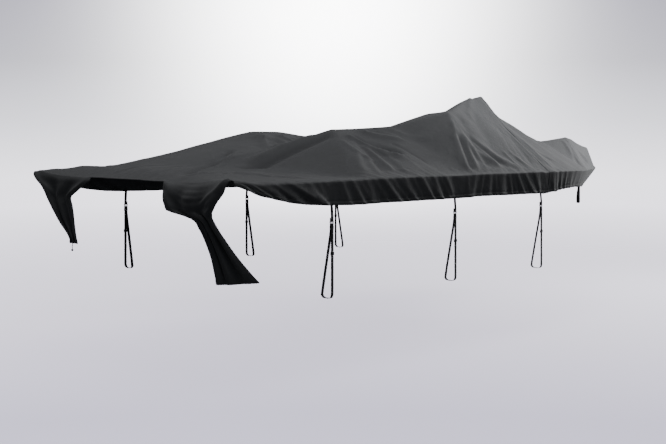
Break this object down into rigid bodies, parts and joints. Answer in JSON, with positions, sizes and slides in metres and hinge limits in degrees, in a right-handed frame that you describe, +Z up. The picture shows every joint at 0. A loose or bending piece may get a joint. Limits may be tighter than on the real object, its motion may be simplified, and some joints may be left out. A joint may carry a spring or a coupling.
{
  "type": "fitted boat cover",
  "caption": "Fitted woven polyester cover for an open boat, draped over its seats, console and bow, with a hanging skirt, corner tails and buckled tie-down straps.",
  "frame": {"origin": "under the top, on the centre line at mid-length, just below the cloth, where the boat carries it", "axes": "+X towards the bow, +Y to port, +Z up"},
  "size_m": [5.8685, 2.4548, 1.4006],
  "materials": {
    "polyester": "matte woven, charcoal",
    "webbing": "matte black webbing",
    "plastic": "satin black",
    "cord": "matte black braid"
  },
  "bodies": {
    "root": {"cover_aft": "polyester", "cover_fore": "polyester", "strap_starboard_aft_tab": "webbing", "strap_starboard_aft_loop": "webbing", "strap_starboard_aft_buckle": "plastic", "strap_starboard_aft_slider": "plastic", "strap_port_aft_tab": "webbing", "strap_port_aft_loop": "webbing", "strap_port_aft_buckle": "plastic", "strap_port_aft_slider": "plastic", "strap_starboard_mid_tab": "webbing", "strap_starboard_mid_loop": "webbing", "strap_starboard_mid_buckle": "plastic", "strap_starboard_mid_slider": "plastic", "strap_port_mid_tab": "webbing", "strap_port_mid_loop": "webbing", "strap_port_mid_buckle": "plastic", "strap_port_mid_slider": "plastic", "strap_starboard_fore_tab": "webbing", "strap_starboard_fore_loop": "webbing", "strap_starboard_fore_buckle": "plastic", "strap_starboard_fore_slider": "plastic", "strap_port_fore_tab": "webbing", "strap_port_fore_loop": "webbing", "strap_port_fore_buckle": "plastic", "strap_port_fore_slider": "plastic", "strap_bow": "webbing", "cord_end": "cord", "cord_knot": "cord"}
  },
  "joints": []
}
